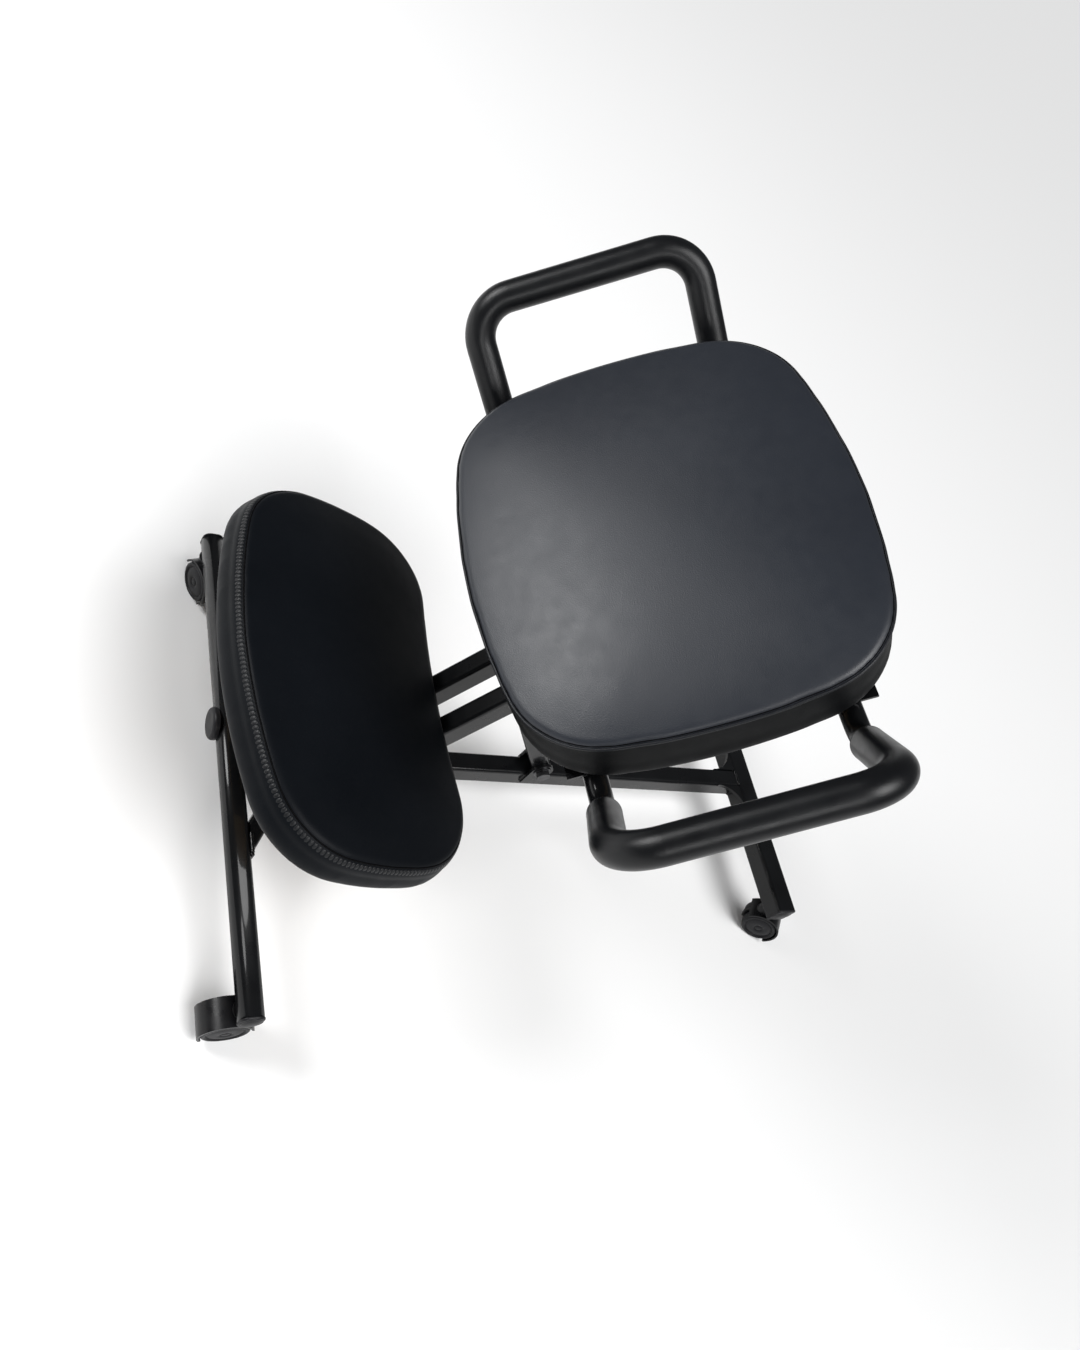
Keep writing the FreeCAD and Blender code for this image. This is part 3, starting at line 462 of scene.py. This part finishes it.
def evenLoop(loop, pitch):
    # the same loop as points an equal way apart, lightly smoothed
    runs = [(b[0] - a[0]).length for a, b in zip(loop, loop[1:] + loop[:1])]
    count = round(sum(runs) / pitch)
    step = sum(runs) / count
    out = []
    index, passed = 0, 0.0
    for number in range(count):
        while passed + runs[index] < number * step:
            passed += runs[index]
            index += 1
        share = (number * step - passed) / max(runs[index], 1e-9)
        here, after = loop[index], loop[(index + 1) % len(loop)]
        out.append((here[0].lerp(after[0], share), here[1].lerp(after[1], share).normalized()))
    for _ in range(2):
        out = [
            ((a[0] + b[0] * 2 + c[0]) / 4, (a[1] + b[1] * 2 + c[1]).normalized())
            for a, b, c in zip(out[-1:] + out[:-1], out, out[1:] + out[:1])
        ]
    return out


def ridge(bm, height, wide, rise):
    # raises a band round the pad, or sinks it where rise is below zero
    for vert in bm.verts:
        away = abs(vert.co.z - height) / wide
        if away < 1:
            vert.co += vert.normal * rise * (1 - away * away) ** 2


cordStep = 0.004  # between the points that a seam's cord runs through


def cordRound(name, loop, radius, lift, place, look):
    points = [place @ (point + normal * lift) for point, normal in evenLoop(loop, cordStep)]
    return addPiece(name, tubeAlong(points, radius, True), "frame", [look])


def stitchesRound(name, loop, spec, place, look):
    # short sewn threads lying along or across the seam
    even = evenLoop(loop, spec["pitch"])
    bm = bmesh.new()
    for (point, normal), (following, _) in zip(even, even[1:] + even[:1]):
        along = (following - point).normalized()
        across = normal.cross(along).normalized()
        outward = along.cross(across)
        turn = Matrix((along, across, outward)).transposed().to_4x4()
        size = Matrix.Diagonal((spec["long"] / 2, spec["wide"] / 2, spec["high"] / 2, 1))
        spot = Matrix.Translation((point + following) / 2 + outward * spec["lift"])
        bmesh.ops.create_uvsphere(
            bm, u_segments=8, v_segments=5, radius=1, matrix=place @ spot @ turn @ size,
        )
    return addPiece(name, bm, "frame", [look])


def wrinkle(bm, centre, spread, depth, seed):
    # low soft unevenness of the stretched cover, most of it near one place
    for vert in bm.verts:
        near = math.exp(-((vert.co - Vector(centre)).length / spread) ** 2)
        wave = noise.noise(vert.co * 11 + Vector((seed, 0, 0))) + 0.3 * noise.noise(vert.co * 27)
        vert.co += vert.normal * wave * depth * (0.35 + near)


def splitLooks(bm, height):
    # the first look above this height, the second below it
    for face in bm.faces:
        face.material_index = 0 if face.calc_center_median().z > height else 1


seatSeam = {
    "pipe": -0.0030, "pipeRadius": 0.0014, "pipeLift": 0.0003,
    # line is the seam's groove; the near-black cord laid in it is a painted shadow
    "line": -0.0004, "lineWide": 0.0040, "lineDepth": -0.0012, "shadowCordRadius": 0.0006,
    "stitchHeight": -0.0068, "stitchWide": 0.0050, "stitchDepth": -0.0005,
    "stitch": {"pitch": 0.0036, "long": 0.0028, "wide": 0.0007, "high": 0.0006, "lift": 0.0001},
}


def makeSeat():
    bm = swollenPad(seat)
    wrinkle(bm, **seat["wrinkle"])
    ridge(bm, seatSeam["line"], seatSeam["lineWide"], seatSeam["lineDepth"])
    ridge(bm, seatSeam["stitchHeight"], seatSeam["stitchWide"], seatSeam["stitchDepth"])
    seamCut = loopAt(bm, seatSeam["pipe"])
    lineCut = loopAt(bm, seatSeam["line"])
    stitchCut = loopAt(bm, seatSeam["stitchHeight"])
    splitLooks(bm, seatSeam["pipe"])
    bm.transform(seat["place"])
    cover = addPiece("seatCover", bm, "frame", [seatTopLook, seatSideLook])
    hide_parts("seat_cushion")
    place, radius = seat["place"], seatSeam["shadowCordRadius"]
    cordRound(
        "seatPiping", seamCut, seatSeam["pipeRadius"], seatSeam["pipeLift"], place, pipingLook,
    )
    # the seam's dark line: painted shadow, a near-black cord in the groove
    cordRound("seatSeamShadowCord", lineCut, radius, 0.0, place, seamShadowLook)
    stitchesRound("seatStitches", stitchCut, seatSeam["stitch"], place, stitchLook)
    print("seat cushion ready")


kneeSeam = {
    "ridge": -0.0100, "ridgeWide": 0.0070, "ridgeRise": 0.0012,
    "groove": -0.0008, "grooveWide": 0.0032, "grooveDepth": -0.0013,
    # the near-black cord laid in the groove is a painted shadow
    "shadowCordRadius": 0.0008, "shadowCordLift": 0.0001, "gather": -0.0048,
    "gathers": {"pitch": 0.0046, "long": 0.0056, "wide": 0.0074, "high": 0.0021, "lift": -0.0006},
}


def makeKnee():
    bm = swollenPad(knee)
    wrinkle(bm, **knee["wrinkle"])
    ridge(bm, kneeSeam["ridge"], kneeSeam["ridgeWide"], kneeSeam["ridgeRise"])
    ridge(bm, kneeSeam["groove"], kneeSeam["grooveWide"], kneeSeam["grooveDepth"])
    gatherCut = loopAt(bm, kneeSeam["gather"])
    lineCut = loopAt(bm, kneeSeam["groove"])
    bm.transform(knee["place"])
    cover = addPiece("kneeCover", bm, "frame", [kneeLook])
    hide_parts("knee_cushion")
    place, radius, lift = knee["place"], kneeSeam["shadowCordRadius"], kneeSeam["shadowCordLift"]
    # the gathers take the lighter leather: painted highlight
    stitchesRound("kneeGathers", gatherCut, kneeSeam["gathers"], place, gatherHighlightLook)
    # the groove's dark line: painted shadow, a near-black cord in the groove
    cordRound("kneeSeamShadowCord", lineCut, radius, lift, place, seamShadowLook)
    print("knee pad ready")


makeSeat()
makeKnee()

wheel = {
    "radius": 0.025, "steps": 56,
    # from the hub out to the tread and back: millimetres along the axle, then out from it, for that radius
    "profile": [
        (16.0, 0.0), (15.9, 2.6), (15.5, 4.4), (14.7, 5.0), (14.5, 5.6), (15.6, 6.4), (16.0, 9.0),
        (15.8, 12.5), (15.1, 16.2), (14.3, 18.2), (13.7, 18.8), (13.7, 19.5), (14.9, 20.0), (15.7, 21.0),
        (15.6, 22.8), (14.6, 24.3), (12.8, 25.0), (7.0, 25.0), (4.4, 24.6), (3.3, 23.4), (3.2, 20.0),
        (4.6, 18.5), (4.6, 4.4), (3.2, 4.0), (3.2, 0.0),
    ],
}


def spun(profile, steps):
    # a closed shape turned about X from (along, out) pairs in millimetres
    bm = bmesh.new()
    verts = [bm.verts.new((along / 1000, 0, out / 1000)) for along, out in profile]
    edges = [bm.edges.new(pair) for pair in zip(verts, verts[1:])]
    bmesh.ops.spin(
        bm, geom=verts + edges, cent=(0, 0, 0), axis=(1, 0, 0),
        angle=math.pi * 2, steps=steps, use_merge=True,
    )
    bmesh.ops.remove_doubles(bm, verts=bm.verts, dist=1e-6)
    bmesh.ops.recalc_face_normals(bm, faces=bm.faces)
    return bm


def joined(parts):
    # several shapes in one mesh
    whole = bmesh.new()
    for part in parts:
        mesh = bpy.data.meshes.new("part")
        part.to_mesh(mesh)
        part.free()
        whole.from_mesh(mesh)
        bpy.data.meshes.remove(mesh)
    return whole


def facing(axis):
    # turns a shape built along X to lie along this axis
    return Vector((1, 0, 0)).rotation_difference(Vector(axis)).to_matrix().to_4x4()


def makeWheels():
    for corner in corners:
        roll = joints["roll_" + corner]
        low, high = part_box("caster_wheels_" + corner)
        share = (high[2] - low[2]) / 2 / wheel["radius"]  # the wheel follows the part's own size
        shift = Matrix.Translation(Vector(roll["pos_m"])) @ Matrix.Diagonal((share, share, share, 1))
        axle = Vector(roll["axis"])
        pair = []
        for way in (1, -1):
            disc = spun(wheel["profile"], wheel["steps"])
            disc.transform(shift @ facing(axle * way))
            bmesh.ops.recalc_face_normals(disc, faces=disc.faces)
            pair.append(disc)
        piece = addPiece("wheels_" + corner, joined(pair), "wheels_" + corner, [wheelLook])
        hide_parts("caster_wheels_" + corner)
    print("caster wheels ready")


makeWheels()

bar = {"segments": 64, "squareness": 2.5}


def makeFrontBar():
    # the front crossbar is an oval tube, softer than a square one with rounded edges
    low, high = (Vector(limit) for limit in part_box("front_crossbar"))
    middle, half = (low + high) / 2, (high - low) / 2
    power = 2 / bar["squareness"]
    bm = bmesh.new()
    bmesh.ops.create_circle(bm, cap_ends=True, segments=bar["segments"], radius=1)
    for vert in bm.verts:
        across = math.copysign(abs(vert.co.x) ** power, vert.co.x) * half.y
        up = math.copysign(abs(vert.co.y) ** power, vert.co.y) * half.z
        vert.co = (low.x, middle.y + across, middle.z + up)
    grown = bmesh.ops.extrude_discrete_faces(bm, faces=bm.faces[:])
    bmesh.ops.translate(bm, verts=grown["faces"][0].verts, vec=(half.x * 2, 0, 0))
    bmesh.ops.holes_fill(bm, edges=[edge for edge in bm.edges if edge.is_boundary])
    bmesh.ops.recalc_face_normals(bm, faces=bm.faces)
    skin = addPiece("frontBar", bm, "base", [steelLook])
    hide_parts("front_crossbar")
    print("front crossbar ready")


makeFrontBar()

cap = {
    "steps": 40, "proud": 0.0022,
    # millimetres out from the cap's face, then the share of the bar's half size
    "profile": [
        (-0.4, 0.0), (-0.4, 0.93), (0.0, 0.93), (0.7, 0.90), (0.9, 0.85), (0.6, 0.80), (0.9, 0.76),
        (1.9, 0.60), (2.6, 0.35), (2.8, 0.0),
    ],
}


def makeCapDomes():
    # the low dome and its ring on each end of the crossbars
    domes = []
    for node in ("front_crossbar", "rear_crossbar"):
        low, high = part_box(node)
        deep = (high[1] - low[1]) / 2
        tall = (high[2] - low[2]) / 2
        reach = high[0] + cap["proud"]
        for side in (1, -1):
            dome = spun([(along, out * 1000) for along, out in cap["profile"]], cap["steps"])
            size = Matrix.Diagonal((1, deep, tall, 1))
            spot = Vector((side * reach, (low[1] + high[1]) / 2, (low[2] + high[2]) / 2))
            dome.transform(Matrix.Translation(spot) @ facing((side, 0, 0)) @ size)
            bmesh.ops.recalc_face_normals(dome, faces=dome.faces)
            domes.append(dome)
    addPiece("capDomes", joined(domes), "base", [capLook])
    print("end caps ready")


makeCapDomes()

grip = {
    # two bends of the handle's tube in the seat's own frame, and where the foam starts between them
    "elbow": (0.212, 0.114, -0.078), "top": (0.294, 0.114, 0.030), "reach": 0.0199, "steps": 40,
    # the rounded end of the foam, along the tube and out from it, in millimetres
    "profile": [
        (-2.8, 11.1), (-3.0, 12.4), (-2.5, 13.8), (-1.4, 14.9), (0.2, 15.5), (1.6, 15.6),
        (1.6, 11.1), (-2.8, 11.1),
    ],
}


def makeGripEnds():
    elbow, top = Vector(grip["elbow"]), Vector(grip["top"])
    run = (top - elbow).normalized()
    foot = elbow + run * grip["reach"]
    ends = []
    for side in (1, -1):
        for end in (1, -1):
            cuff = spun(grip["profile"], grip["steps"])
            axis = Vector((side * run.x, end * run.y, run.z))
            spot = Vector((side * foot.x, end * foot.y, foot.z))
            cuff.transform(seat["place"] @ Matrix.Translation(spot) @ facing(axis))
            bmesh.ops.recalc_face_normals(cuff, faces=cuff.faces)
            ends.append(cuff)
    addPiece("gripEnds", joined(ends), "frame", [foamLook])
    print("grip ends ready")


makeGripEnds()

weld = {
    "radius": 0.0021, "step": 0.0011, "ripple": 0.00045, "pitch": 0.0026, "grain": 260,
    "gap": 0.002, "lowGap": 0.003, "thinGap": 0.001,  # how far a bead stops short of an edge
    "braceTip": 0.023, "braceFoot": 0.024, "braceOut": 0.0004,
    # the beads beside the handles' feet, in the seat's own frame
    "foot": {"starts": (0.088, 0.128, 0.162), "long": 0.018, "aside": 0.0065, "height": -0.0682},
}


def weldBead(start, end, seed):
    # a fillet of weld along a straight joint, with its row of ripples
    run = end - start
    count = max(4, round(run.length / weld["step"]))
    bm = tubeAlong([start + run * i / count for i in range(count + 1)], weld["radius"], False, 2)
    along = run.normalized()
    for vert in bm.verts:
        away = (vert.co - start).dot(along)
        out = vert.co - start - along * away
        ripples = math.sin(away / weld["pitch"] * math.pi * 2)
        grain = noise.noise(vert.co * weld["grain"] + Vector((seed, 0, 0)))
        vert.co += out.normalized() * weld["ripple"] * (ripples + grain)
    return bm


def beadsAlong(runs, place):
    beads = []
    for number, (start, end) in enumerate(runs):
        beads.append(weldBead(place @ Vector(start), place @ Vector(end), number))
    return joined(beads)


def makeWelds():
    spineLow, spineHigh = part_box("spine_tube")
    frontLow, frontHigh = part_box("front_crossbar")
    braceLow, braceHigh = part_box("front_braces")
    earLow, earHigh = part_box("strut_ears")
    gap, lowGap, thinGap = weld["gap"], weld["lowGap"], weld["thinGap"]
    front, rear, top = spineLow[1], spineHigh[1], spineHigh[2]
    barTop = min(frontHigh[2], top)
    runs = []
    for side in (1, -1):
        x = side * spineHigh[0]
        runs.append(((x, front, frontLow[2] + lowGap), (x, front, barTop - gap)))
        runs.append(((x, rear, spineLow[2] + lowGap), (x, rear, top - gap)))
        tip, outer = side * (braceHigh[0] - weld["braceTip"]), side * (braceHigh[0] - thinGap)
        for z in (braceLow[2], braceHigh[2]):
            runs.append(((tip, front, z), (outer, front, z)))
            runs.append(((x, braceHigh[1] - weld["braceFoot"], z), (x, braceHigh[1] - gap, z)))
        far = side * (braceHigh[0] + weld["braceOut"])
        runs.append(((far, front, braceLow[2]), (far, front, braceHigh[2])))
        for y in (earLow[1], earHigh[1]):
            runs.append(((x, y, earLow[2] + thinGap), (x, y, top - gap)))
        runs.append(((x, earLow[1] + thinGap, earLow[2]), (x, earHigh[1] - thinGap, earLow[2])))
    runs.append(((spineLow[0] + gap, rear, top), (spineHigh[0] - gap, rear, top)))
    addPiece("baseWelds", beadsAlong(runs, Matrix()), "base", [steelLook])
    foot = weld["foot"]
    runs = []
    for side in (1, -1):
        for end in (1, -1):
            for aside in (foot["aside"], -foot["aside"]):
                y = end * grip["elbow"][1] + aside
                for first in foot["starts"]:
                    last = first + foot["long"]
                    runs.append(((side * first, y, foot["height"]), (side * last, y, foot["height"])))
    addPiece("handleWelds", beadsAlong(runs, seat["place"]), "frame", [steelLook])
    print("welds ready")


makeWelds()
